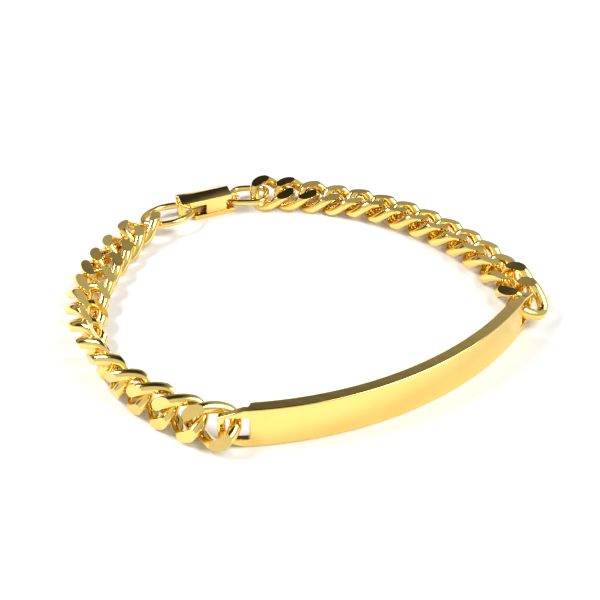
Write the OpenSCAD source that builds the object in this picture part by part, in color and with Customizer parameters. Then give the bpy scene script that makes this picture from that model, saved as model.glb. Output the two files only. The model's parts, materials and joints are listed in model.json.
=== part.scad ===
// Identity bracelet: a curved plain plate, two runs of filed curb links and a folding clasp.
// It lies closed on a flat surface, as a whole loop. +Z is up and the plate is at the front.

/* [Plate] */
// Height of the plate, which stands on its long edge
plate_h = 6.2; // [5.8:0.1:6.6]
// Thickness of the plate
plate_t = 1.75; // [1.6:0.05:1.8]
// Radius of the plate's outer face
plate_r = 51.2; // [50.8:0.1:51.6]
// Angle at which the plain face ends on the left, seen from above
face_left = -84.62; // [-84.7:0.02:-84.5]
// Angle at which the plain face ends on the right
face_right = -32.33; // [-32.4:0.02:-32.2]
// Length of the slot at each end
slot_len = 3; // [2.9:0.1:3.2]
// Height of the slot
slot_h = 3.6; // [3.6:0.1:3.8]
// Width of the bar that closes each slot
bar_w = 1; // [0.8:0.05:1]
// Length of the thin end between a slot and the thick face
shoulder_len = 0.15; // [0.1:0.05:0.3]
// Thickness of the plate round its slots, flush with its outer face
end_t = 1.05; // [0.9:0.05:1.1]
// Height that the sloping cut takes off each corner
corner_cut = 1.1; // [0.6:0.1:1.1]
// Length of that cut along the plate
corner_len = 3.4; // [2.5:0.1:3.6]

/* [Links] */
// Diameter of the link wire
wire_d = 1.65; // [1.5:0.05:1.65]
// Half the length of a link, along the middle of its wire
link_a = 3.15; // [3.1:0.05:3.2]
// Half the width of a link, along the middle of its wire
link_b = 2.35; // [2.3:0.05:2.4]
// How far the wire rises and falls where the link is twisted
link_twist = 1.4; // [1.35:0.05:1.45]
// Thickness of a link after its two faces are filed flat
filed_t = 3; // [2.7:0.1:3.1]

/* [Clasp] */
// Length of the folding lid
lid_l = 8.8; // [8.4:0.1:9]
// Width of the lid
lid_w = 3.8; // [3.6:0.1:4]
// Height of the lid's ridge above the surface
lid_top = 4.3; // [4:0.1:4.4]
// Height of the lid's two long edges
lid_edge = 3.6; // [3.5:0.1:3.7]
// Thickness of the lid's side walls
lid_wall = 0.5; // [0.4:0.05:0.6]
// Thickness of the clasp's bottom leaf
leaf_t = 0.8; // [0.6:0.1:0.8]
// Diameter of the hinge pin
pin_d = 0.7; // [0.6:0.05:0.7]
// Radial play of the lid's ears on the hinge pin
pin_play = 0.05; // [0.03:0.01:0.08]
// Diameter of the wire of the pointed ring on the clasp's left
ring_wire = 1.1; // [0.9:0.05:1.1]
// Diameter of the wire of the loop on the clasp's right
loop_wire = 1.05; // [0.9:0.05:1.1]

/* [Hidden] */
LEFT_LINKS = 14;
RIGHT_LINKS = 14;
LINKS = LEFT_LINKS + RIGHT_LINKS;
function link_name(i) = str("link_", i < 10 ? "0" : "", i);
LINK_NODES = [for (i = [1:LINKS]) link_name(i)];

GOLD = [0.93, 0.78, 0.33];
// How far a cutter reaches past what it cuts
beyond = 1;
wire_r = wire_d / 2;

// Every place below is first given from a working point near the middle of the loop.
// At the end the whole bracelet is moved so that its origin is below the middle of its box.
plate_centre = [-11.2, 18.7];
plate_mid_r = plate_r - plate_t / 2;
bar_mid_r = plate_r - end_t / 2;
slot_turn = slot_len / plate_mid_r * 180 / PI;
bar_turn = bar_w / plate_mid_r * 180 / PI;
plate_from = face_left - slot_turn - bar_turn;
plate_to = face_right + slot_turn + bar_turn;

// The end bar stands this far from the middle of the link that holds it
bar_play = 0.34;
bar_reach = link_a - wire_r - bar_play - bar_w / 2;
left_heading = 161.2;
right_heading = 97.3;

// Routes of the links after the first of each run. A start holds x, y and a heading in degrees.
// A row holds the radius of an arc and its turn in degrees, positive to the left.
RADIUS = 0;
TURN = 1;
left_start = [-15.45, -29.6, 148.2];
LEFT_ROUTE = [[43, -11.9], [28, -32.3], [36.6, -40], [19.3, -60]];
left_pitch = 4.47;
right_start = [32.4, 0.5, 104];
RIGHT_ROUTE = [[24.5, 10], [40.1, 23.8], [41.4, 26.7], [27.9, 90]];
right_pitch = 4.135;
right_first_pitch = 4.08;

// Roll of a link about the chain, in degrees: a row holds the link's number in its run and its roll.
// The left run turns from standing on its edge at the plate to lying flat at the clasp.
LEFT_ROLL = [[1, 113.5], [2, 98], [3, 92], [5, 78], [7, 57], [10, 26], [12, 6], [14, -12.3]];
RIGHT_ROLL = [[1, -26], [2, -20], [3, 4], [4, 10], [10, 10], [14, -17]];

// Clasp: its middle, the turn of its long side, and its parts along it
clasp_at = [-16.33, 25.27];
clasp_turn = 24;
lid_left = -lid_l / 2;
lid_right = lid_l / 2;
wing_from = -0.1;
wing_to = 3.4;
wing_low = 0.95;
strip_low = 2.75;
ceiling = 3.25;
hinge_x = -4;
hinge_z = 2.6;
knuckle_r = 0.6;
knuckle_w = 1;
ear_gap = 0.1;
ear_w = 0.45;
leaf_w = 3.6;
leaf_from = -2.2;
tongue_w = 1.4;
hook_x = 4.95;
hook_z = 1.6;
hook_w = 1;
hook_bore = 0.85;
hook_t = 0.5;

// Pointed ring: its middle, its turn, its tilt towards the front, and half its sizes
ring_at = [-21.94, 21.59, 1.89];
ring_turn = 34.2;
ring_tilt = -7.8;
ring_a = 4.57;
ring_b = 3.37;
ring_point = 1.8;

// Loop on the right of the clasp: its middle, its turn and tilt, and half its sizes
loop_at = [-8.87, 28.1, 1.82];
loop_turn = -7;
loop_tilt = -5.7;
loop_a = 3.03;
loop_b = 2.43;
loop_corner = 3.6;

// End of an arc that leaves a place [x, y, heading]
function after_arc(at, r, turn) =
    let (side = sign(turn), h = at[2] + turn)
    [
        at[0] - side * r * (sin(at[2]) - sin(h)),
        at[1] + side * r * (cos(at[2]) - cos(h)),
        h
    ];

function arc_length(row) = row[RADIUS] * abs(row[TURN]) * PI / 180;

// Place on a route after a length s, past its last row too
function along(at, route, s, i = 0) =
    i == len(route) - 1 || s <= arc_length(route[i])
    ? after_arc(at, route[i][RADIUS], sign(route[i][TURN]) * s / route[i][RADIUS] * 180 / PI)
    : along(after_arc(at, route[i][RADIUS], route[i][TURN]), route, s - arc_length(route[i]), i + 1);

// Place of the link that holds an end bar of the plate
function bar_link(angle, heading) =
    [
        plate_centre[0] + bar_mid_r * cos(angle) + bar_reach * cos(heading),
        plate_centre[1] + bar_mid_r * sin(angle) + bar_reach * sin(heading),
        heading
    ];

function left_place(i) =
    i == 1 ? bar_link(plate_from + bar_turn / 2, left_heading)
    : along(left_start, LEFT_ROUTE, (i - 2) * left_pitch);

function right_place(i) =
    i == 1 ? bar_link(plate_to - bar_turn / 2, right_heading)
    : i == 2 ? right_start
    : along(right_start, RIGHT_ROUTE, right_first_pitch + (i - 3) * right_pitch);

// Place and roll of a link by its number in the whole bracelet
function link_place(i) = i <= LEFT_LINKS ? left_place(i) : right_place(i - LEFT_LINKS);
function link_roll(i) = i <= LEFT_LINKS ? lookup(i, LEFT_ROLL) : lookup(i - LEFT_LINKS, RIGHT_ROLL);

function unit(v) = v / norm(v);

// Section of a round wire: a ring of points round a place, square to the way it runs
function wire_ring(at, way, outward, r, sides) =
    let (d = unit(way), o = unit(outward - (outward * d) * d), u = cross(d, o))
    [for (k = [0:sides - 1]) at + r * (cos(k * 360 / sides) * o + sin(k * 360 / sides) * u)];

// A curb link is an oval of wire, twisted so that its two ends cross, and filed flat on both faces
LINK_RINGS = 16;
LINK_SIDES = 6;
function filed(p) = [p[0], p[1], min(max(p[2], -filed_t / 2), filed_t / 2)];
function curb_rings() =
    [
        for (k = [0:LINK_RINGS - 1])
        let (
            t = k * 360 / LINK_RINGS,
            at = [link_a * cos(t), link_b * sin(t), -link_twist * sin(2 * t)],
            way = [-link_a * sin(t), link_b * cos(t), -2 * link_twist * cos(2 * t)],
            outward = [cos(t) / link_a, sin(t) / link_b, 0]
        )
        [for (p = wire_ring(at, way, outward, wire_r, LINK_SIDES)) filed(p)]
    ];
CURB = curb_rings();

// A link's rings in place: rolled about the chain, set on the surface and turned to its heading
function rolled(p, roll) = [p[0], p[1] * cos(roll) - p[2] * sin(roll), p[1] * sin(roll) + p[2] * cos(roll)];
function placed(p, place) =
    [
        place[0] + p[0] * cos(place[2]) - p[1] * sin(place[2]),
        place[1] + p[0] * sin(place[2]) + p[1] * cos(place[2]),
        p[2]
    ];
function link_rings(i) =
    let (
        place = link_place(i),
        turned = [for (ring = CURB) [for (p = ring) rolled(p, link_roll(i))]],
        low = min([for (ring = turned) for (p = ring) p[2]])
    )
    [for (ring = turned) [for (p = ring) placed(p - [0, 0, low], place)]];

// Closed tube through rings of points, whose last ring meets the first
module closed_tube(rings) {
    n = len(rings);
    sides = len(rings[0]);
    function at(i, k) = (i % n) * sides + k % sides;
    faces = [
        for (i = [0:n - 1]) for (k = [0:sides - 1])
        for (face = [
            [at(i, k), at(i + 1, k), at(i + 1, k + 1)],
            [at(i, k), at(i + 1, k + 1), at(i, k + 1)]
        ])
        face
    ];
    polyhedron(points = [for (ring = rings) for (p = ring) p], faces = faces);
}

// Ring of wire whose middle line is an oval between a diamond and a box, as its power sets
WIRE_STEPS = 24;
function swell(v, power) = sign(v) * pow(abs(v), 2 / power);
module wire_oval(a, b, power, wire) {
    path = [for (k = [0:WIRE_STEPS - 1])
        let (t = (k + 0.5) * 360 / WIRE_STEPS)
        [a * swell(cos(t), power), b * swell(sin(t), power), 0]];
    closed_tube([for (k = [0:WIRE_STEPS - 1])
        let (next = path[(k + 1) % WIRE_STEPS], last = path[(k + WIRE_STEPS - 1) % WIRE_STEPS])
        wire_ring(path[k], next - last, path[k], wire / 2, LINK_SIDES)]);
}

// Middle of the box round all the links, which reach furthest on every side
reach = [for (i = [1:LINKS]) for (ring = link_rings(i)) for (p = ring) p];
reach_x = [for (p = reach) p[0]];
reach_y = [for (p = reach) p[1]];
middle = [(min(reach_x) + max(reach_x)) / 2, (min(reach_y) + max(reach_y)) / 2, 0];

// Arc of the plate between two radii and two angles, from the surface up
module plate_arc(inner, outer, from, to, height) {
    rotate([0, 0, from])
        rotate_extrude(angle = to - from, $fn = 200)
            translate([inner, 0])
                square([outer - inner, height]);
}

// Wedge that cuts off a corner of the plate. The plate lies on the `along` side of the end's angle,
// and on the `up` side of the height z, where each is 1 or -1.
module corner_wedge(angle, along, z, up) {
    far = corner_len * (1 + beyond / corner_cut);
    high = corner_cut * (1 + beyond / corner_len);
    rotate([0, 0, angle])
        translate([plate_mid_r - plate_t, 0, 0])
            rotate([90, 0, 90])
                linear_extrude(2 * plate_t)
                    polygon([
                        [-along * beyond, z - up * beyond],
                        [along * far, z - up * beyond],
                        [-along * beyond, z + up * high]
                    ]);
}

module id_plate() {
    inner = plate_r - plate_t;
    slot_z = (plate_h - slot_h) / 2;
    past_end = 2 * bar_turn;
    shoulder = shoulder_len / plate_mid_r * 180 / PI;
    color(GOLD)
        translate([plate_centre[0], plate_centre[1], 0])
            difference() {
                plate_arc(inner, plate_r, plate_from, plate_to, plate_h);
                for (end = [[plate_from - past_end, face_left + shoulder], [face_right - shoulder, plate_to + past_end]])
                    translate([0, 0, -beyond])
                        plate_arc(inner - beyond, plate_r - end_t, end[0], end[1], plate_h + 2 * beyond);
                for (slot = [[face_left - slot_turn, face_left], [face_right, face_right + slot_turn]])
                    translate([0, 0, slot_z])
                        plate_arc(inner - 2 * beyond, plate_r + beyond, slot[0], slot[1], slot_h);
                for (end = [[plate_from, 1], [plate_to, -1]]) {
                    corner_wedge(end[0], end[1], 0, 1);
                    corner_wedge(end[0], end[1], plate_h, -1);
                }
            }
}

// One link of the chain
module curb_link(i) {
    color(GOLD)
        closed_tube(link_rings(i));
}

module at_clasp() {
    translate([clasp_at[0], clasp_at[1], 0])
        rotate([0, 0, clasp_turn])
            children();
}

// Round bar across the clasp
module cross_bar(x, z, r, w) {
    translate([x, w / 2, z])
        rotate([90, 0, 0])
            cylinder(r = r, h = w, $fn = 40);
}

// Bottom leaf, with a hinge post and pin at its left and a hook for the loop at its right
module clasp_base() {
    color(GOLD)
        at_clasp() {
            difference() {
                union() {
                    translate([leaf_from, -leaf_w / 2, 0])
                        cube([hook_x - leaf_from, leaf_w, leaf_t]);
                    translate([hinge_x - knuckle_r, -tongue_w / 2, 0])
                        cube([leaf_from - hinge_x + 2 * knuckle_r, tongue_w, leaf_t]);
                    translate([hinge_x - knuckle_r, -knuckle_w / 2, 0])
                        cube([2 * knuckle_r, knuckle_w, hinge_z]);
                    cross_bar(hinge_x, hinge_z, knuckle_r, knuckle_w);
                    cross_bar(hinge_x, hinge_z, pin_d / 2, knuckle_w + 2 * (ear_gap + ear_w));
                    cross_bar(hook_x, hook_z, hook_bore + hook_t, hook_w);
                }
                cross_bar(hook_x, hook_z, hook_bore, leaf_w + 2 * beyond);
            }
        }
}

// Section of the lid: two sloping top facets that meet in a ridge, over a hollow between the walls
module lid_section(low) {
    half = lid_w / 2;
    polygon([
        [-half, low],
        [-half, lid_edge],
        [0, lid_top],
        [half, lid_edge],
        [half, low],
        [half - lid_wall, low],
        [half - lid_wall, ceiling],
        [lid_wall - half, ceiling],
        [lid_wall - half, low]
    ]);
}

// Stretch of the lid between two places along the clasp
module lid_run(from, to, low) {
    translate([from, 0, 0])
        rotate([90, 0, 90])
            linear_extrude(to - from)
                lid_section(low);
}

// Folding lid: side wings in its middle, cut away at both ends, and two ears on the hinge pin
module clasp_lid() {
    ear_y = knuckle_w / 2 + ear_gap;
    color(GOLD)
        at_clasp() {
            lid_run(lid_left, wing_from, strip_low);
            lid_run(wing_from, wing_to, wing_low);
            lid_run(wing_to, lid_right, strip_low);
            for (side = [-1, 1])
                translate([0, side * (ear_y + ear_w / 2), 0])
                    difference() {
                        union() {
                            cross_bar(hinge_x, hinge_z, knuckle_r, ear_w);
                            translate([hinge_x - knuckle_r, -ear_w / 2, hinge_z])
                                cube([2 * knuckle_r, ear_w, lid_edge - hinge_z]);
                        }
                        cross_bar(hinge_x, hinge_z, pin_d / 2 + pin_play, 2 * ear_w);
                    }
        }
}

// Pointed ring that holds the last link of the left run
module clasp_ring() {
    color(GOLD)
        translate(ring_at)
            rotate([0, 0, ring_turn])
                rotate([ring_tilt, 0, 0])
                    wire_oval(ring_a, ring_b, ring_point, ring_wire);
}

// Loop in the clasp's hook that holds the last link of the right run
module clasp_loop() {
    color(GOLD)
        translate(loop_at)
            rotate([0, 0, loop_turn])
                rotate([0, loop_tilt, 0])
                    wire_oval(loop_a, loop_b, loop_corner, loop_wire);
}

translate(-middle) {
    id_plate();
    clasp_base();
    clasp_lid();
    clasp_ring();
    clasp_loop();
    for (i = [1:LINKS])
        curb_link(i);
}
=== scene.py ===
"""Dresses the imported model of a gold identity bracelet: fine plate, links and clasp, and a studio."""

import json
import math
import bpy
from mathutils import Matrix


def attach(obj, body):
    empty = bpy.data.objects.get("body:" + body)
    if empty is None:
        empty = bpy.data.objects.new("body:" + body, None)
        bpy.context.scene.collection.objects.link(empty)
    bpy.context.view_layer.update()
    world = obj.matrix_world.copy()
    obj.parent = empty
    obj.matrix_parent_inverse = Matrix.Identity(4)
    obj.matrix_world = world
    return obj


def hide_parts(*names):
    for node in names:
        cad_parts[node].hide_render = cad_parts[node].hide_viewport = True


bl_info = {
    "name": "Identity bracelet",
    "version": (1, 0, 0),
    "blender": (4, 5, 0),
    "location": "View3D > Sidebar > Bracelet",
    "description": "Makes the plate, the filed curb links and the clasp of a gold identity bracelet",
    "category": "Object",
}

import bmesh
import bpy
from mathutils import Euler, Matrix, Vector

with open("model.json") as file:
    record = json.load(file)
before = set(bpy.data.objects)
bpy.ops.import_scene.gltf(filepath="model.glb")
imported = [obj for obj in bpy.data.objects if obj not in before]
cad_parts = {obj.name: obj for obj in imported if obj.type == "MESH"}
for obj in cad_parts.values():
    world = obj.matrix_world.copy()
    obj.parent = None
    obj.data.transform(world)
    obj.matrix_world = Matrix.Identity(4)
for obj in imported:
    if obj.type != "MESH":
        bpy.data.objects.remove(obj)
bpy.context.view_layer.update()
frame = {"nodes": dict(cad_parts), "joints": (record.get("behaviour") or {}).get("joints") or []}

MM = 0.001
CHAIN_BODY = "bracelet"
LID_BODY = "clasp_lid"
LEFT_LINKS = 14
RIGHT_LINKS = 14

# Places below are in millimetres from a working point near the middle of the loop, as they were
# measured. The lid's hinge is known both ways, so it gives the shift to the model's own origin.
CLASP_AT = (-16.33, 25.27)
CLASP_TURN = 24.0
HINGE_X = -4.0


def turned(x, y, degrees):
    """The point (x, y) turned about the origin, seen from above."""
    c, s = math.cos(math.radians(degrees)), math.sin(math.radians(degrees))
    return x * c - y * s, x * s + y * c


def shift_to_origin():
    """How far the working point lies from the model's origin, in millimetres."""
    hinge = next(j for j in frame["joints"] if j["name"] == "lid_hinge")["pos_m"]
    x, y = turned(HINGE_X, 0, CLASP_TURN)
    return hinge[0] / MM - CLASP_AT[0] - x, hinge[1] / MM - CLASP_AT[1] - y


SHIFT = shift_to_origin()

# Routes of the two runs of links, which are those of the solids.
# A place is x, y and a heading in degrees; a row is an arc's radius and its turn to the left.
PLATE_CENTRE = (-11.2, 18.7)
LEFT_HEADING = 161.2
RIGHT_HEADING = 97.3
LEFT_START = (-15.45, -29.6, 148.2)
LEFT_ROUTE = ((43.0, -11.9), (28.0, -32.3), (36.6, -40.0), (19.3, -60.0))
LEFT_PITCH = 4.47
RIGHT_START = (32.4, 0.5, 104.0)
RIGHT_ROUTE = ((24.5, 10.0), (40.1, 23.8), (41.4, 26.7), (27.9, 90.0))
RIGHT_PITCH = 4.135
RIGHT_FIRST_PITCH = 4.08
# How far the middle of a first link stands from the middle of the plate's end bar
BAR_REACH = 1.485
# Roll of a link about the chain: its number in its run, and degrees
LEFT_ROLL = ((1, 113.5), (2, 98), (3, 92), (5, 78), (7, 57), (10, 26), (12, 6), (14, -12.3))
RIGHT_ROLL = ((1, -26), (2, -20), (3, 4), (4, 10), (10, 10), (14, -17))

# The clasp's two bent wires. An oval is half its length, half its width and the power that shapes it:
# 1 is a diamond, 2 an ellipse, and more nears a box. Turn and tilt are in degrees.
RING_OVAL = (4.57, 3.37, 1.8)
RING_AT = (-21.94, 21.59, 1.89)
RING_TURN = 34.2
RING_TILT = -7.8
LOOP_OVAL = (3.03, 2.43, 3.6)
LOOP_AT = (-8.87, 28.1, 1.82)
LOOP_TURN = -7
LOOP_TILT = -5.7
# Steps along such a wire and round it
WIRE_STEPS = 96
WIRE_SIDES = 20

# An edge that turns more than this many degrees is rounded on the plate and the clasp
BEVEL_FROM = 30
# An edge that turns more than this many degrees stays sharp where a link was filed
FILED_FROM = 24

# Noise cells in a metre: the swell that buffing leaves is one wave in about 2 mm, handling dulls the
# polish in patches of about 4 mm, and the hairlines are 0.1 mm across and 2 mm long
SWELL_SCALE = 500.0
DULL_SCALE = 260.0
HAIR_SCALE = (600.0, 600.0, 9000.0)
# Finish of a kind of piece: roughness, and the heights of the swell and the hairlines in millimetres
FINISHES = {
    "plate": (0.10, 0.010, 0.0006),
    "links": (0.13, 0.012, 0.0008),
    "clasp": (0.12, 0.010, 0.0008),
}

# Room from the horizon in front, over the top, to the one behind: degrees and brightness
ROOM_ARCH = ((0, 0.85), (58, 0.9), (74, 0.03), (132, 0.03),
             (137, 0.06), (144, 0.45), (166, 0.45), (172, 0.02))
# Where the light side of the room begins and where it is all light, as the X of a direction
LIGHT_SIDE = (0.12, 0.55)
# Place and width of the softboxes, and half the floor's width, in metres
KEY_AT = (-0.4, 0.06, 0.42)
KEY_WIDTH = 0.24
FILL_AT = (0.36, -0.1, 0.42)
FILL_WIDTH = 0.36
FLOOR_HALF = 0.45


# Sizes and colours that a user would change


class PlateSizes(bpy.types.PropertyGroup):
    height: bpy.props.FloatProperty(name="Height", description="Height of the plate on its edge",
                                    default=6.2 * MM, unit="LENGTH")
    thickness: bpy.props.FloatProperty(name="Thickness", description="Thickness of the plate",
                                       default=1.75 * MM, unit="LENGTH")
    radius: bpy.props.FloatProperty(name="Radius", description="Radius of the plate's outer face",
                                    default=51.2 * MM, unit="LENGTH")
    face_left: bpy.props.FloatProperty(name="Face left", description="Angle of the face's left end",
                                       default=math.radians(-84.62), subtype="ANGLE", unit="ROTATION")
    face_right: bpy.props.FloatProperty(name="Face right", description="Angle of the face's right end",
                                        default=math.radians(-32.33), subtype="ANGLE", unit="ROTATION")
    slot_length: bpy.props.FloatProperty(name="Slot length", description="Length of the slot at each end",
                                         default=3 * MM, unit="LENGTH")
    slot_height: bpy.props.FloatProperty(name="Slot height", description="Height of the slot",
                                         default=3.6 * MM, unit="LENGTH")
    bar_width: bpy.props.FloatProperty(name="Bar", description="Width of the bar that closes a slot",
                                       default=1 * MM, unit="LENGTH")
    end_thickness: bpy.props.FloatProperty(name="End thickness", description="Thickness round the slots",
                                           default=1.05 * MM, unit="LENGTH")
    corner_cut: bpy.props.FloatProperty(name="Corner cut", description="Height that is cut off each corner",
                                        default=1.1 * MM, unit="LENGTH")
    corner_length: bpy.props.FloatProperty(name="Corner length", description="Length of that sloping cut",
                                           default=3.4 * MM, unit="LENGTH")
    edge: bpy.props.FloatProperty(name="Edge", description="Width of the polished bevel along the edges",
                                  default=0.22 * MM, unit="LENGTH")


class LinkSizes(bpy.types.PropertyGroup):
    wire: bpy.props.FloatProperty(name="Wire", description="Diameter of the link wire",
                                  default=1.65 * MM, unit="LENGTH")
    half_length: bpy.props.FloatProperty(name="Half length", description="Half a link's length, mid wire",
                                         default=3.15 * MM, unit="LENGTH")
    half_width: bpy.props.FloatProperty(name="Half width", description="Half a link's width, mid wire",
                                        default=2.35 * MM, unit="LENGTH")
    twist: bpy.props.FloatProperty(name="Twist", description="How far the wire rises and falls",
                                   default=1.4 * MM, unit="LENGTH")
    filed: bpy.props.FloatProperty(name="Filed", description="Thickness after both faces are filed flat",
                                   default=3 * MM, unit="LENGTH")
    rings: bpy.props.IntProperty(name="Rings", description="Steps round a link", default=72)
    sides: bpy.props.IntProperty(name="Sides", description="Steps round its wire", default=20)


class ClaspSizes(bpy.types.PropertyGroup):
    ring_wire: bpy.props.FloatProperty(name="Ring wire", description="Diameter of the pointed ring's wire",
                                       default=1.1 * MM, unit="LENGTH")
    loop_wire: bpy.props.FloatProperty(name="Loop wire", description="Diameter of the end loop's wire",
                                       default=1.05 * MM, unit="LENGTH")
    edge: bpy.props.FloatProperty(name="Edge", description="Width of the bevel on the clasp's edges",
                                  default=0.1 * MM, unit="LENGTH")


class GoldLook(bpy.types.PropertyGroup):
    colour: bpy.props.StringProperty(name="Colour", description="Gold as sRGB hex", default="F9DB83")
    worn: bpy.props.StringProperty(name="Worn colour", description="Where the polish is duller, as sRGB hex",
                                   default="F2D077")


class StageLook(bpy.types.PropertyGroup):
    floor: bpy.props.StringProperty(name="Floor", description="Floor colour as sRGB hex", default="F4F4F4")
    room: bpy.props.FloatProperty(name="Room", description="Brightness of the room round the floor",
                                  default=0.92)
    side: bpy.props.StringProperty(name="Side of room", default="CCCED2",
                                   description="Colour of the light right side, as sRGB hex")
    key: bpy.props.FloatProperty(name="Key light", description="Power of the left softbox in watts",
                                 default=3.0)
    fill: bpy.props.FloatProperty(name="Fill light", description="Power of the right softbox in watts",
                                  default=2.4)
    elevation: bpy.props.FloatProperty(name="Camera elevation", description="How far the camera looks down",
                                       default=math.radians(36), subtype="ANGLE", unit="ROTATION")
    distance: bpy.props.FloatProperty(name="Camera distance", description="From the camera to its aim",
                                      default=170 * MM, unit="LENGTH")
    lens: bpy.props.FloatProperty(name="Lens", description="Focal length in mm, with a sensor 36 mm wide",
                                  default=67.0)


class BraceletSettings(bpy.types.PropertyGroup):
    plate: bpy.props.PointerProperty(type=PlateSizes)
    links: bpy.props.PointerProperty(type=LinkSizes)
    clasp: bpy.props.PointerProperty(type=ClaspSizes)
    gold: bpy.props.PointerProperty(type=GoldLook)
    stage: bpy.props.PointerProperty(type=StageLook)


# Materials


def from_hex(text):
    """An sRGB hex colour as the linear values that a shader takes."""
    values = [int(text[k:k + 2], 16) / 255 for k in (0, 2, 4)]
    return [v / 12.92 if v <= 0.04045 else ((v + 0.055) / 1.055) ** 2.4 for v in values] + [1.0]


def add_node(tree, kind, inputs=None, **settings):
    """Adds a node to a tree. An input given as a socket is linked, and any other is set."""
    node = tree.nodes.new(kind)
    for name, value in settings.items():
        setattr(node, name, value)
    for name, value in (inputs or {}).items():
        if isinstance(value, bpy.types.NodeSocket):
            tree.links.new(value, node.inputs[name])
        else:
            node.inputs[name].default_value = value
    return node


def polished_gold(name, look, roughness, wave, scratch):
    """Gold of 18 carats, cast or drawn, then filed and buffed on a wheel to a mirror.

    The eye sees a mirror with a lemon to orange cast. Buffing leaves a slow swell of the surface and
    fine hairlines, which are drawn coarser than they are.
    """
    mat = bpy.data.materials.new(name)
    mat.use_nodes = True
    tree = mat.node_tree
    tree.nodes.clear()
    place = add_node(tree, "ShaderNodeTexCoord").outputs["Object"]
    swell = add_node(tree, "ShaderNodeTexNoise", {"Vector": place, "Scale": SWELL_SCALE, "Detail": 2.0})
    dull = add_node(tree, "ShaderNodeTexNoise", {"Vector": place, "Scale": DULL_SCALE, "Detail": 3.0})
    stretch = add_node(tree, "ShaderNodeMapping", {"Vector": place, "Scale": HAIR_SCALE})
    hair = add_node(tree, "ShaderNodeTexNoise", {
        "Vector": stretch.outputs["Vector"], "Scale": 1.0, "Detail": 3.0})
    tint = add_node(tree, "ShaderNodeMix", {
        0: dull.outputs["Fac"], 6: from_hex(look.colour), 7: from_hex(look.worn)}, data_type="RGBA")
    rough = add_node(tree, "ShaderNodeMapRange", {
        "Value": dull.outputs["Fac"], "From Min": 0.3, "From Max": 0.7,
        "To Min": roughness * 0.7, "To Max": roughness * 1.4})
    low = add_node(tree, "ShaderNodeBump", {
        "Height": swell.outputs["Fac"], "Distance": wave, "Strength": 1.0})
    fine = add_node(tree, "ShaderNodeBump", {
        "Height": hair.outputs["Fac"], "Distance": scratch, "Strength": 1.0, "Normal": low.outputs["Normal"]})
    shader = add_node(tree, "ShaderNodeBsdfPrincipled", {
        "Base Color": tint.outputs[2], "Metallic": 1.0, "Roughness": rough.outputs["Result"],
        "Normal": fine.outputs["Normal"]})
    add_node(tree, "ShaderNodeOutputMaterial", {"Surface": shader.outputs["BSDF"]})
    return mat


def gold(kind):
    """The gold of a kind of piece, made when it is first asked for."""
    name = "polished_18_carat_gold_" + kind
    if name in bpy.data.materials:
        return bpy.data.materials[name]
    roughness, wave, scratch = FINISHES[kind]
    return polished_gold(name, bpy.context.scene.id_bracelet.gold, roughness, wave * MM, scratch * MM)


# Routes of the links


def after_arc(place, radius, degrees):
    """The place at the end of an arc."""
    side = math.copysign(1, degrees)
    h0, h1 = math.radians(place[2]), math.radians(place[2] + degrees)
    return (place[0] - side * radius * (math.sin(h0) - math.sin(h1)),
            place[1] + side * radius * (math.cos(h0) - math.cos(h1)), place[2] + degrees)


def along(start, route, distance):
    """The place on a route after a distance, past its last arc too."""
    place = start
    for i, (radius, degrees) in enumerate(route):
        length = radius * math.radians(abs(degrees))
        if distance <= length or i == len(route) - 1:
            return after_arc(place, radius, math.copysign(math.degrees(distance / radius), degrees))
        place = after_arc(place, radius, degrees)
        distance -= length


def from_table(table, value):
    """A value read between the rows of a table."""
    for (x0, y0), (x1, y1) in zip(table, table[1:]):
        if value <= x1:
            return y0 + (y1 - y0) * (value - x0) / (x1 - x0)
    return table[-1][1]


def bar_link_place(plate, angle, heading):
    """The place of the link that holds an end bar of the plate."""
    bar = (plate.radius - plate.end_thickness / 2) / MM
    x, y = turned(BAR_REACH, 0, heading)
    return (PLATE_CENTRE[0] + bar * math.cos(angle) + x,
            PLATE_CENTRE[1] + bar * math.sin(angle) + y, heading)


def link_place(plate, i):
    """Place and roll of link i of the whole bracelet, from the working point."""
    middle = plate.radius - plate.thickness / 2
    end = (plate.slot_length + plate.bar_width / 2) / middle
    if i == 1:
        place = bar_link_place(plate, plate.face_left - end, LEFT_HEADING)
    elif i <= LEFT_LINKS:
        place = along(LEFT_START, LEFT_ROUTE, (i - 2) * LEFT_PITCH)
    elif i == LEFT_LINKS + 1:
        place = bar_link_place(plate, plate.face_right + end, RIGHT_HEADING)
    elif i == LEFT_LINKS + 2:
        place = RIGHT_START
    else:
        place = along(RIGHT_START, RIGHT_ROUTE, RIGHT_FIRST_PITCH + (i - LEFT_LINKS - 3) * RIGHT_PITCH)
    if i <= LEFT_LINKS:
        return place, from_table(LEFT_ROLL, i)
    return place, from_table(RIGHT_ROLL, i - LEFT_LINKS)


def link_lift(sizes, roll):
    """Height at which a rolled link's lowest point meets the floor."""
    lowest = 0.0
    steps, sides = 180, 24
    for k in range(steps):
        t = math.tau * k / steps
        centre = Vector((sizes.half_length * math.cos(t), sizes.half_width * math.sin(t),
                         -sizes.twist * math.sin(2 * t)))
        way = Vector((-sizes.half_length * math.sin(t), sizes.half_width * math.cos(t),
                      -2 * sizes.twist * math.cos(2 * t))).normalized()
        side = way.orthogonal().normalized()
        other = way.cross(side)
        for m in range(sides):
            a = math.tau * m / sides
            p = centre + (side * math.cos(a) + other * math.sin(a)) * sizes.wire / 2
            z = max(-sizes.filed / 2, min(sizes.filed / 2, p.z))
            lowest = min(lowest, p.y * math.sin(roll) + z * math.cos(roll))
    return -lowest


# Geometry node trees


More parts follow.
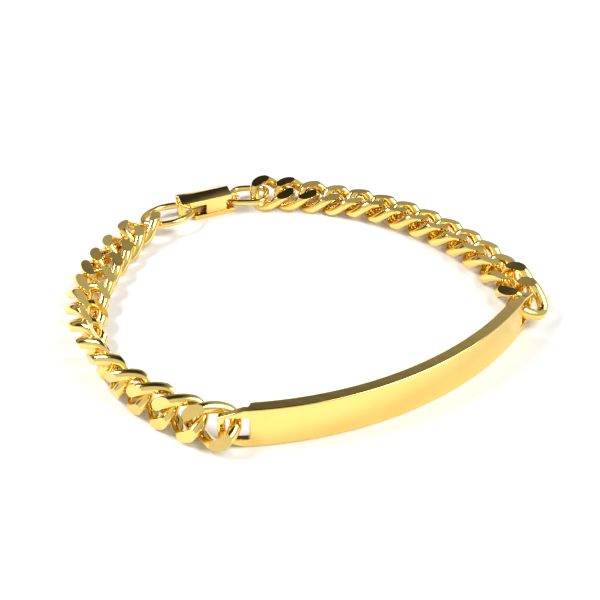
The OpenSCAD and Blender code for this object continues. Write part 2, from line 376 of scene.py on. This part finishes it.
def new_tree(name, sizes):
    """An empty tree that takes a geometry and the named sizes, and gives a geometry."""
    tree = bpy.data.node_groups.new(name, "GeometryNodeTree")
    tree.interface.new_socket("Geometry", in_out="INPUT", socket_type="NodeSocketGeometry")
    for label, kind in sizes:
        tree.interface.new_socket(label, in_out="INPUT", socket_type=kind)
    tree.interface.new_socket("Geometry", in_out="OUTPUT", socket_type="NodeSocketGeometry")
    return tree


def finish_tree(tree, geometry, material):
    """Ends a tree: its instances made real, and its material set."""
    real = add_node(tree, "GeometryNodeRealizeInstances", {"Geometry": geometry})
    made = add_node(tree, "GeometryNodeSetMaterial", {"Geometry": real.outputs[0], "Material": material})
    add_node(tree, "NodeGroupOutput", {"Geometry": made.outputs[0]})


def wire_mesh(tree, curve, wire, sides):
    """Wire of a round section along a curve."""
    radius = add_node(tree, "ShaderNodeMath", {0: wire, 1: 0.5}, operation="MULTIPLY").outputs[0]
    section = add_node(tree, "GeometryNodeCurvePrimitiveCircle", {"Resolution": sides, "Radius": radius})
    return add_node(tree, "GeometryNodeCurveToMesh", {
        "Curve": curve, "Profile Curve": section.outputs["Curve"], "Fill Caps": False}).outputs["Mesh"]


def smooth_but_for_edges(tree, mesh):
    """Smooth shading, apart from the edges of a filed face."""
    angle = add_node(tree, "GeometryNodeInputMeshEdgeAngle").outputs["Unsigned Angle"]
    sharp = add_node(tree, "FunctionNodeCompare", {0: angle, 1: math.radians(FILED_FROM)},
                     data_type="FLOAT", operation="GREATER_THAN").outputs["Result"]
    smooth = add_node(tree, "GeometryNodeSetShadeSmooth", {
        "Geometry": mesh, "Shade Smooth": True}, domain="FACE")
    return add_node(tree, "GeometryNodeSetShadeSmooth", {
        "Geometry": smooth.outputs[0], "Selection": sharp, "Shade Smooth": False}, domain="EDGE").outputs[0]


def curb_chain_tree():
    """Puts a twisted link of wire, filed flat on both faces, at each point of a mesh."""
    tree = new_tree("Curb chain", (
        ("Half length", "NodeSocketFloat"), ("Half width", "NodeSocketFloat"), ("Twist", "NodeSocketFloat"),
        ("Wire", "NodeSocketFloat"), ("Filed thickness", "NodeSocketFloat"), ("Rings", "NodeSocketInt"),
        ("Sides", "NodeSocketInt"), ("Material", "NodeSocketMaterial")))
    given = add_node(tree, "NodeGroupInput").outputs
    circle = add_node(tree, "GeometryNodeCurvePrimitiveCircle", {
        "Resolution": given["Rings"], "Radius": 1.0})
    position = add_node(tree, "GeometryNodeInputPosition").outputs[0]
    unit = add_node(tree, "ShaderNodeSeparateXYZ", {0: position})
    x, y = unit.outputs["X"], unit.outputs["Y"]

    def times(a, b):
        return add_node(tree, "ShaderNodeMath", {0: a, 1: b}, operation="MULTIPLY").outputs[0]

    # The twist follows the sine of twice the angle, which is twice x times y on the unit circle
    rise = times(times(times(x, y), -2.0), given["Twist"])
    path = add_node(tree, "ShaderNodeCombineXYZ", {
        "X": times(x, given["Half length"]), "Y": times(y, given["Half width"]), "Z": rise})
    curve = add_node(tree, "GeometryNodeSetPosition", {
        "Geometry": circle.outputs["Curve"], "Position": path.outputs[0]}).outputs[0]
    link = wire_mesh(tree, curve, given["Wire"], given["Sides"])
    # Filing keeps what lies in a slab that is wider than the link
    wide = times(given["Half length"], 4.0)
    slab_size = add_node(tree, "ShaderNodeCombineXYZ", {"X": wide, "Y": wide, "Z": given["Filed thickness"]})
    slab = add_node(tree, "GeometryNodeMeshCube", {"Size": slab_size.outputs[0]})
    filed = add_node(tree, "GeometryNodeMeshBoolean", operation="INTERSECT", solver="EXACT")
    tree.links.new(link, filed.inputs["Mesh 2"])
    tree.links.new(slab.outputs["Mesh"], filed.inputs["Mesh 2"])
    shaded = smooth_but_for_edges(tree, filed.outputs["Mesh"])
    turn = add_node(tree, "GeometryNodeInputNamedAttribute", {"Name": "turn"}, data_type="FLOAT_VECTOR")
    rotation = add_node(tree, "FunctionNodeEulerToRotation", {0: turn.outputs["Attribute"]})
    links = add_node(tree, "GeometryNodeInstanceOnPoints", {
        "Points": given["Geometry"], "Instance": shaded, "Rotation": rotation.outputs[0]})
    finish_tree(tree, links.outputs["Instances"], given["Material"])
    return tree


def wire_path_tree():
    """Lays a round wire along the closed path that a mesh of edges gives."""
    tree = new_tree("Bent wire", (
        ("Wire", "NodeSocketFloat"), ("Sides", "NodeSocketInt"), ("Material", "NodeSocketMaterial")))
    given = add_node(tree, "NodeGroupInput").outputs
    curve = add_node(tree, "GeometryNodeMeshToCurve", {"Mesh": given["Geometry"]}).outputs[0]
    mesh = wire_mesh(tree, curve, given["Wire"], given["Sides"])
    smooth = add_node(tree, "GeometryNodeSetShadeSmooth", {"Geometry": mesh, "Shade Smooth": True})
    finish_tree(tree, smooth.outputs[0], given["Material"])
    return tree


def tree_for(name, make):
    """A node tree by name, made when it is first asked for."""
    return bpy.data.node_groups.get(name) or make()


def plain_mesh(source, tree, values):
    """The mesh that a tree makes of a mesh, as a mesh without modifiers."""
    obj = bpy.data.objects.new("working", source)
    bpy.context.scene.collection.objects.link(obj)
    modifier = obj.modifiers.new("Nodes", "NODES")
    modifier.node_group = tree
    for item in tree.interface.items_tree:
        if item.in_out == "INPUT" and item.name in values:
            modifier[item.identifier] = values[item.name]
    bpy.context.view_layer.update()
    mesh = bpy.data.meshes.new_from_object(obj.evaluated_get(bpy.context.evaluated_depsgraph_get()))
    bpy.data.objects.remove(obj)
    if not mesh.polygons:
        raise RuntimeError("the tree " + tree.name + " made no faces")
    return mesh


# Pieces


def add_piece(name, mesh, body, nodes, material=None):
    """Adds a finished mesh as a piece that rides a body and stands for the given CAD nodes."""
    mesh.name = name
    if material:
        mesh.materials.clear()
        mesh.materials.append(material)
    obj = bpy.data.objects.new(name, mesh)
    bpy.context.scene.collection.objects.link(obj)
    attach(obj, body)
    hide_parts(*nodes)


def bevelled(mesh, width, segments):
    """The mesh with its edges rounded, and with flat faces kept flat in the shading."""
    obj = bpy.data.objects.new("working", mesh)
    bpy.context.scene.collection.objects.link(obj)
    modifier = obj.modifiers.new("Edge", "BEVEL")
    modifier.width = width
    modifier.segments = segments
    modifier.limit_method = "ANGLE"
    modifier.angle_limit = math.radians(BEVEL_FROM)
    modifier.harden_normals = True
    modifier.miter_outer = "MITER_ARC"
    for polygon in mesh.polygons:
        polygon.use_smooth = True
    bpy.context.view_layer.update()
    made = bpy.data.meshes.new_from_object(obj.evaluated_get(bpy.context.evaluated_depsgraph_get()))
    bpy.data.objects.remove(obj)
    return made


def plate_mesh(plate):
    """The bare plate before its edges are rounded: a bent bar with a slot and cut corners at each end."""
    middle = plate.radius - plate.thickness / 2
    bar, slot = plate.bar_width, plate.slot_length
    end = bar + slot
    # Length of the slope from an end's thickness to the plate's
    ramp = 0.25 * MM
    slot_low = (plate.height - plate.slot_height) / 2
    face = (plate.face_right - plate.face_left) * middle
    length = face + 2 * end
    # Places along the left end: distance from its tip, and the thickness there
    thin, thick = plate.end_thickness, plate.thickness
    tip = [(0.0, thin), (bar, thin), ((bar + plate.corner_length) / 2, thin), (plate.corner_length, thin),
           (end, thin), (end + ramp, thick)]
    columns = tip + [(length - s, depth) for s, depth in reversed(tip)]
    steps = 90
    run = length - 2 * (end + ramp)
    columns[len(tip):len(tip)] = [(end + ramp + run * k / steps, thick) for k in range(1, steps)]
    mesh = bmesh.new()
    grid = []
    for s, depth in columns:
        low = plate.corner_cut * max(0.0, 1 - min(s, length - s) / plate.corner_length)
        heights = (low, slot_low, plate.height - slot_low, plate.height - low)
        angle = plate.face_left + (s - end) / middle
        rows = []
        for r in (plate.radius, plate.radius - depth):
            x = PLATE_CENTRE[0] * MM + r * math.cos(angle) + SHIFT[0] * MM
            y = PLATE_CENTRE[1] * MM + r * math.sin(angle) + SHIFT[1] * MM
            rows.append([mesh.verts.new((x, y, z)) for z in heights])
        grid.append(rows)
    cells = []
    for i in range(len(columns) - 1):
        a, b = columns[i][0], columns[i + 1][0]
        centre = min((a + b) / 2, length - (a + b) / 2)
        for j in range(3):
            if j == 1 and bar < centre < end:
                continue
            cells.append((i, j))
    edges = {}
    for i, j in cells:
        for a, b in (((i, j), (i + 1, j)), ((i + 1, j), (i + 1, j + 1)),
                     ((i + 1, j + 1), (i, j + 1)), ((i, j + 1), (i, j))):
            key = (min(a, b), max(a, b))
            edges[key] = None if key in edges else (a, b)
        front = [grid[i][0][j], grid[i + 1][0][j], grid[i + 1][0][j + 1], grid[i][0][j + 1]]
        back = [grid[i][1][j], grid[i][1][j + 1], grid[i + 1][1][j + 1], grid[i + 1][1][j]]
        mesh.faces.new(front)
        mesh.faces.new(back)
    for edge in edges.values():
        if edge:
            (i0, j0), (i1, j1) = edge
            mesh.faces.new([grid[i1][0][j1], grid[i0][0][j0], grid[i0][1][j0], grid[i1][1][j1]])
    bmesh.ops.recalc_face_normals(mesh, faces=mesh.faces)
    made = bpy.data.meshes.new("plate")
    mesh.to_mesh(made)
    mesh.free()
    return made


def node_copy(name):
    """A copy of a CAD node's mesh with its triangles joined and its flat faces whole."""
    same_place, flat = 0.0005 * MM, math.radians(0.5)
    mesh = bmesh.new()
    mesh.from_mesh(frame["nodes"][name].data)
    bmesh.ops.remove_doubles(mesh, verts=mesh.verts, dist=same_place)
    bmesh.ops.dissolve_limit(mesh, angle_limit=flat, verts=mesh.verts, edges=mesh.edges)
    made = bpy.data.meshes.new(name)
    mesh.to_mesh(made)
    mesh.free()
    return made


def oval_path(oval, place):
    """A closed path of edges on an oval between a diamond and a box, set in its place."""
    half_x, half_y, power = oval[0] * MM, oval[1] * MM, oval[2]
    points = []
    for k in range(WIRE_STEPS):
        t = math.tau * (k + 0.5) / WIRE_STEPS
        c, s = math.cos(t), math.sin(t)
        points.append(place @ Vector((half_x * math.copysign(abs(c) ** (2 / power), c),
                                      half_y * math.copysign(abs(s) ** (2 / power), s), 0)))
    mesh = bpy.data.meshes.new("path")
    mesh.from_pydata(points, [(k, (k + 1) % WIRE_STEPS) for k in range(WIRE_STEPS)], [])
    return mesh


def wire_place(at, turn, tilt_x=0.0, tilt_y=0.0):
    """The place of a bent wire from millimetres and degrees."""
    move = Matrix.Translation(Vector((at[0] + SHIFT[0], at[1] + SHIFT[1], at[2])) * MM)
    turn_about = Matrix.Rotation(math.radians(turn), 4, "Z")
    tilt = Matrix.Rotation(math.radians(tilt_x), 4, "X") @ Matrix.Rotation(math.radians(tilt_y), 4, "Y")
    return move @ turn_about @ tilt


# Operators


class BRACELET_OT_plate(bpy.types.Operator):
    """Makes the curved name plate, with polished bevels and a slot at each end"""
    bl_idname = "bracelet.plate"
    bl_label = "Name plate"

    def execute(self, context):
        plate = context.scene.id_bracelet.plate
        mesh = bevelled(plate_mesh(plate), plate.edge, segments=3)
        add_piece("name_plate", mesh, CHAIN_BODY, ["id_plate"], gold("plate"))
        return {"FINISHED"}


class BRACELET_OT_links(bpy.types.Operator):
    """Makes both runs of filed curb links"""
    bl_idname = "bracelet.links"
    bl_label = "Curb links"

    def execute(self, context):
        settings = context.scene.id_bracelet
        sizes = settings.links
        count = LEFT_LINKS + RIGHT_LINKS
        points, turns = [], []
        for i in range(1, count + 1):
            (x, y, heading), roll = link_place(settings.plate, i)
            points.append(((x + SHIFT[0]) * MM, (y + SHIFT[1]) * MM, link_lift(sizes, math.radians(roll))))
            turns += [math.radians(roll), 0.0, math.radians(heading)]
        source = bpy.data.meshes.new("places")
        source.from_pydata(points, [], [])
        source.attributes.new("turn", "FLOAT_VECTOR", "POINT").data.foreach_set("vector", turns)
        mesh = plain_mesh(source, tree_for("Curb chain", curb_chain_tree), {
            "Half length": sizes.half_length, "Half width": sizes.half_width, "Twist": sizes.twist,
            "Wire": sizes.wire, "Filed thickness": sizes.filed, "Rings": sizes.rings, "Sides": sizes.sides,
            "Material": gold("links")})
        add_piece("curb_links", mesh, CHAIN_BODY, ["link_%02d" % i for i in range(1, count + 1)])
        return {"FINISHED"}


class BRACELET_OT_clasp(bpy.types.Operator):
    """Makes the clasp's folding lid and its base"""
    bl_idname = "bracelet.clasp"
    bl_label = "Clasp lid and base"

    def execute(self, context):
        edge = context.scene.id_bracelet.clasp.edge
        for name, node, body in (("clasp_box", "clasp_lid", LID_BODY),
                                 ("clasp_leaf", "clasp_base", CHAIN_BODY)):
            mesh = bevelled(node_copy(node), edge, segments=2)
            add_piece(name, mesh, body, [node], gold("clasp"))
        return {"FINISHED"}


class BRACELET_OT_rings(bpy.types.Operator):
    """Makes the pointed ring and the end loop that join the chain to the clasp"""
    bl_idname = "bracelet.rings"
    bl_label = "Clasp rings"

    def execute(self, context):
        clasp = context.scene.id_bracelet.clasp
        tree = tree_for("Bent wire", wire_path_tree)
        ring = oval_path(RING_OVAL, wire_place(RING_AT, RING_TURN, tilt_x=RING_TILT))
        loop = oval_path(LOOP_OVAL, wire_place(LOOP_AT, LOOP_TURN, tilt_y=LOOP_TILT))
        for name, node, path, wire in (("pointed_ring", "clasp_ring", ring, clasp.ring_wire),
                                       ("end_loop", "clasp_loop", loop, clasp.loop_wire)):
            mesh = plain_mesh(path, tree, {"Wire": wire, "Sides": WIRE_SIDES, "Material": gold("clasp")})
            add_piece(name, mesh, CHAIN_BODY, [node])
        return {"FINISHED"}


class BRACELET_OT_stage(bpy.types.Operator):
    """Makes the pale floor, the soft light and the camera"""
    bl_idname = "bracelet.stage"
    bl_label = "Studio"

    def execute(self, context):
        look = context.scene.id_bracelet.stage
        scene = context.scene
        add_floor(scene, look)
        add_room(scene, look)
        add_softbox(scene, "key_softbox", KEY_AT, KEY_WIDTH, look.key)
        add_softbox(scene, "fill_softbox", FILL_AT, FILL_WIDTH, look.fill)
        add_camera(scene, look)
        scene.view_settings.view_transform = "Standard"
        return {"FINISHED"}


def add_floor(scene, look):
    """A wide pale board under the bracelet."""
    mat = bpy.data.materials.new("matt_white_laminate")
    mat.use_nodes = True
    tree = mat.node_tree
    tree.nodes.clear()
    shader = add_node(tree, "ShaderNodeBsdfPrincipled", {
        "Base Color": from_hex(look.floor), "Roughness": 0.6, "Specular IOR Level": 0.2})
    add_node(tree, "ShaderNodeOutputMaterial", {"Surface": shader.outputs["BSDF"]})
    mesh = bpy.data.meshes.new("floor")
    corners = [(x * FLOOR_HALF, y * FLOOR_HALF, 0) for x, y in ((-1, -1), (1, -1), (1, 1), (-1, 1))]
    mesh.from_pydata(corners, [], [(0, 1, 2, 3)])
    mesh.materials.append(mat)
    obj = bpy.data.objects.new("floor", mesh)
    scene.collection.objects.link(obj)


def add_room(scene, look):
    """The room that the polished faces mirror: light in front and on the right, and dark overhead."""
    world = bpy.data.worlds.new("studio")
    world.use_nodes = True
    tree = world.node_tree
    tree.nodes.clear()
    direction = add_node(tree, "ShaderNodeTexCoord").outputs["Generated"]
    way = add_node(tree, "ShaderNodeSeparateXYZ", {0: direction})
    ahead = add_node(tree, "ShaderNodeMath", {0: way.outputs["Y"], 1: -1.0}, operation="MULTIPLY")
    height = add_node(tree, "ShaderNodeMath", {0: way.outputs["Z"], 1: 0.0}, operation="MAXIMUM")
    angle = add_node(tree, "ShaderNodeMath", {0: height.outputs[0], 1: ahead.outputs[0]},
                     operation="ARCTAN2")
    share = add_node(tree, "ShaderNodeMath", {0: angle.outputs[0], 1: math.pi},
                     operation="DIVIDE", use_clamp=True)
    arch = add_node(tree, "ShaderNodeValToRGB", {0: share.outputs[0]})
    stops = arch.color_ramp.elements
    while len(stops) < len(ROOM_ARCH):
        stops.new(1.0)
    for stop, (degrees, light) in zip(stops, ROOM_ARCH):
        stop.position = degrees / 180
        stop.color = (light, light, light, 1.0)
    side = add_node(tree, "ShaderNodeMapRange", {
        "Value": way.outputs["X"], "From Min": LIGHT_SIDE[0], "From Max": LIGHT_SIDE[1],
        "To Min": 0.0, "To Max": 1.0}, interpolation_type="SMOOTHSTEP")
    colour = add_node(tree, "ShaderNodeMix", {
        0: side.outputs["Result"], 6: arch.outputs["Color"], 7: from_hex(look.side)}, data_type="RGBA")
    back = add_node(tree, "ShaderNodeBackground", {"Color": colour.outputs[2], "Strength": look.room})
    add_node(tree, "ShaderNodeOutputWorld", {"Surface": back.outputs[0]})
    scene.world = world


def add_softbox(scene, name, at, width, power):
    """A square soft light at a place, turned to the bracelet."""
    light = bpy.data.lights.new(name, "AREA")
    light.shape = "SQUARE"
    light.size = width
    light.energy = power
    obj = bpy.data.objects.new(name, light)
    obj.location = at
    obj.rotation_euler = (-Vector(at)).to_track_quat("-Z", "Y").to_euler()
    scene.collection.objects.link(obj)


def add_camera(scene, look):
    """The camera at the photograph's angle, aimed at the floor near the middle of the loop."""
    camera = bpy.data.cameras.new("camera")
    camera.sensor_width = 36.0
    camera.lens = look.lens
    camera.clip_start = 5 * MM
    obj = bpy.data.objects.new("camera", camera)
    aim = Vector((SHIFT[0], SHIFT[1], 0)) * MM
    obj.location = aim + Vector((0, -math.cos(look.elevation), math.sin(look.elevation))) * look.distance
    obj.rotation_euler = Euler((math.pi / 2 - look.elevation, 0, 0))
    scene.collection.objects.link(obj)
    scene.camera = obj


class BRACELET_PT_sidebar(bpy.types.Panel):
    """Buttons that make the bracelet's pieces"""
    bl_idname = "BRACELET_PT_sidebar"
    bl_label = "Identity bracelet"
    bl_space_type = "VIEW_3D"
    bl_region_type = "UI"
    bl_category = "Bracelet"

    def draw(self, context):
        settings = context.scene.id_bracelet
        for operator, group in ((BRACELET_OT_plate, settings.plate), (BRACELET_OT_links, settings.links),
                                (BRACELET_OT_clasp, settings.clasp), (BRACELET_OT_rings, None),
                                (BRACELET_OT_stage, settings.stage)):
            box = self.layout.box()
            box.operator(operator.bl_idname)
            if group:
                for name in group.bl_rna.properties.keys():
                    if name not in ("rna_type", "name"):
                        box.prop(group, name)


CLASSES = (PlateSizes, LinkSizes, ClaspSizes, GoldLook, StageLook, BraceletSettings, BRACELET_OT_plate,
           BRACELET_OT_links, BRACELET_OT_clasp, BRACELET_OT_rings, BRACELET_OT_stage, BRACELET_PT_sidebar)


def register():
    for cls in CLASSES:
        bpy.utils.register_class(cls)
    bpy.types.Scene.id_bracelet = bpy.props.PointerProperty(type=BraceletSettings)


def unregister():
    del bpy.types.Scene.id_bracelet
    for cls in reversed(CLASSES):
        bpy.utils.unregister_class(cls)


def main():
    register()
    bpy.ops.bracelet.plate()
    bpy.ops.bracelet.links()
    bpy.ops.bracelet.clasp()
    bpy.ops.bracelet.rings()
    bpy.ops.bracelet.stage()


if __name__ == "__main__":
    main()
